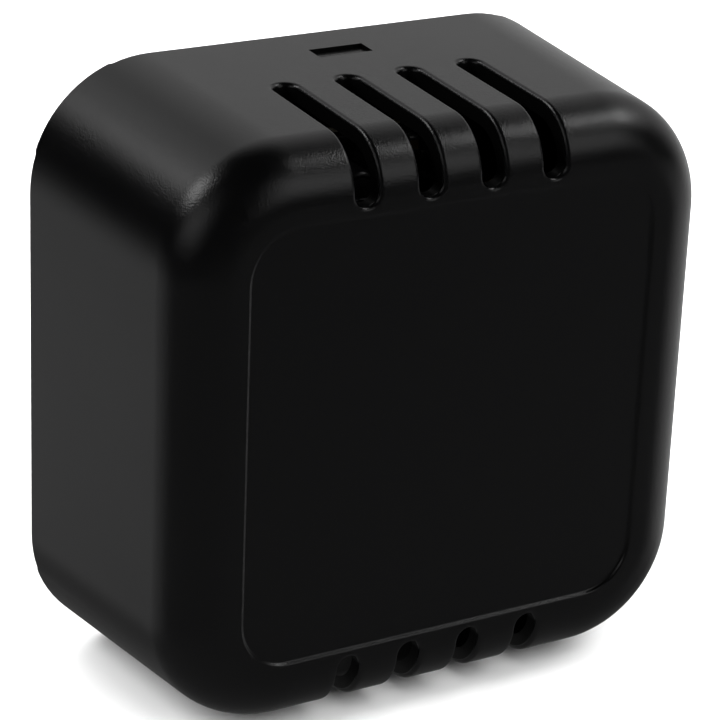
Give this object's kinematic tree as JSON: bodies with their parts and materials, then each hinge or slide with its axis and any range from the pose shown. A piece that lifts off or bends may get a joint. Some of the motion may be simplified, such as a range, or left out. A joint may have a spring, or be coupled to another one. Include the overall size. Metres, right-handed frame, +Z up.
{
  "type": "indoor climate sensor",
  "caption": "Black vented wall housing with wrap-over slots, a blank front recess and a snap-off cover over a climate-sensing circuit board.",
  "frame": {"origin": "centre of the base's back face, where it meets the wall", "axes": "+Z up, the front faces -Y, the wall is on the +Y side, X runs across"},
  "size_m": [0.072, 0.0343, 0.072],
  "materials": {
    "cover_plastic": "black ABS, fine spark-eroded texture",
    "base_plastic": "black ABS, smooth satin",
    "board_laminate": "black solder mask on glass-fibre laminate",
    "screw_steel": "bright zinc plated",
    "terminal_plastic": "dark grey polyamide",
    "button_plastic": "orange polyamide",
    "spring_metal": "tinned spring steel",
    "pin_metal": "gold-flashed brass",
    "lead_metal": "tin plated copper",
    "black_moulding": "black epoxy moulding compound",
    "sensor_package": "white polymer package",
    "can_metal": "drawn aluminium can in a black shrunk sleeve",
    "crystal_metal": "seam-welded lid",
    "dip_plastic": "red moulding",
    "lever_plastic": "white moulding",
    "trimmer_plastic": "blue moulding",
    "varistor_coat": "blue epoxy dip",
    "fuse_coat": "yellow epoxy dip",
    "led_resin": "diffused green resin",
    "ferrite": "ground ferrite",
    "chip_ceramic": "sintered ceramic"
  },
  "bodies": {
    "base": {"rear_base": "base_plastic", "circuit_board": "board_laminate", "board_screws": "screw_steel", "terminal_block": "terminal_plastic", "terminal_clamps": "spring_metal", "sensor_header": "black_moulding", "sensor_pins": "pin_metal", "sensor_board": "board_laminate", "sensor_chip": "sensor_package", "controller": "black_moulding", "controller_leads": "lead_metal", "crystal": "crystal_metal", "dip_switch": "dip_plastic", "dip_switch_leads": "lead_metal", "setup_button_case": "crystal_metal", "setup_button_leads": "lead_metal", "trimmer_case": "trimmer_plastic", "regulator_tab": "lead_metal", "voltage_regulator": "black_moulding", "regulator_leads": "lead_metal", "power_inductor": "ferrite", "input_capacitor": "can_metal", "output_capacitor": "can_metal", "bridge_rectifier": "black_moulding", "rectifier_leads": "lead_metal", "surge_varistor": "varistor_coat", "resettable_fuse": "fuse_coat", "status_light": "led_resin", "service_header": "black_moulding", "service_pins": "pin_metal", "chip_resistors": "black_moulding", "chip_capacitors": "chip_ceramic"},
    "cover": {"front_cover": "cover_plastic"},
    "top_latch": {"top_latch": "base_plastic"},
    "bottom_latch": {"bottom_latch": "base_plastic"},
    "setup_plunger": {"setup_button_plunger": "black_moulding"},
    "trimmer_rotor": {"trimmer_rotor": "lever_plastic"},
    "terminal_button_1": {"terminal_button_1": "button_plastic"},
    "dip_lever_1": {"dip_lever_1": "lever_plastic"},
    "terminal_button_2": {"terminal_button_2": "button_plastic"},
    "dip_lever_2": {"dip_lever_2": "lever_plastic"},
    "terminal_button_3": {"terminal_button_3": "button_plastic"},
    "dip_lever_3": {"dip_lever_3": "lever_plastic"},
    "terminal_button_4": {"terminal_button_4": "button_plastic"},
    "dip_lever_4": {"dip_lever_4": "lever_plastic"}
  },
  "joints": [
    {"name": "cover_slide", "type": "slide", "parent": "base", "child": "cover", "axis": [0, -1, 0], "range_m": [0, 0.045], "deforming": ["top_latch", "bottom_latch"]},
    {"name": "top_latch_press", "type": "hinge", "parent": "base", "child": "top_latch", "pos_m": [0, -0.0006, 0.03141], "axis": [1, 0, 0], "range_deg": [0, 17], "stiffness_Nm_per_rad": 0.3, "springref_deg": -1.72},
    {"name": "bottom_latch_press", "type": "hinge", "parent": "base", "child": "bottom_latch", "pos_m": [0, -0.0006, -0.03141], "axis": [-1, 0, 0], "range_deg": [0, 17], "stiffness_Nm_per_rad": 0.3, "springref_deg": -1.72},
    {"name": "terminal_button_1_press", "type": "slide", "parent": "base", "child": "terminal_button_1", "axis": [0, 1, 0], "range_m": [0, 0.0012], "stiffness_N_per_m": 300, "springref_m": -0.001},
    {"name": "terminal_button_2_press", "type": "slide", "parent": "base", "child": "terminal_button_2", "axis": [0, 1, 0], "range_m": [0, 0.0012], "stiffness_N_per_m": 300, "springref_m": -0.001},
    {"name": "terminal_button_3_press", "type": "slide", "parent": "base", "child": "terminal_button_3", "axis": [0, 1, 0], "range_m": [0, 0.0012], "stiffness_N_per_m": 300, "springref_m": -0.001},
    {"name": "terminal_button_4_press", "type": "slide", "parent": "base", "child": "terminal_button_4", "axis": [0, 1, 0], "range_m": [0, 0.0012], "stiffness_N_per_m": 300, "springref_m": -0.001},
    {"name": "dip_lever_1_slide", "type": "slide", "parent": "base", "child": "dip_lever_1", "axis": [0, 0, 1], "range_m": [0, 0.0016]},
    {"name": "dip_lever_2_slide", "type": "slide", "parent": "base", "child": "dip_lever_2", "axis": [0, 0, 1], "range_m": [0, 0.0016]},
    {"name": "dip_lever_3_slide", "type": "slide", "parent": "base", "child": "dip_lever_3", "axis": [0, 0, 1], "range_m": [0, 0.0016]},
    {"name": "dip_lever_4_slide", "type": "slide", "parent": "base", "child": "dip_lever_4", "axis": [0, 0, 1], "range_m": [0, 0.0016]},
    {"name": "setup_button_press", "type": "slide", "parent": "base", "child": "setup_plunger", "axis": [0, 1, 0], "range_m": [0, 0.00025], "stiffness_N_per_m": 2000, "springref_m": -0.0002},
    {"name": "trimmer_turn", "type": "hinge", "parent": "base", "child": "trimmer_rotor", "pos_m": [0.0135, -0.0134, -0.003], "axis": [0, -1, 0], "range_deg": [-130, 130]}
  ]
}
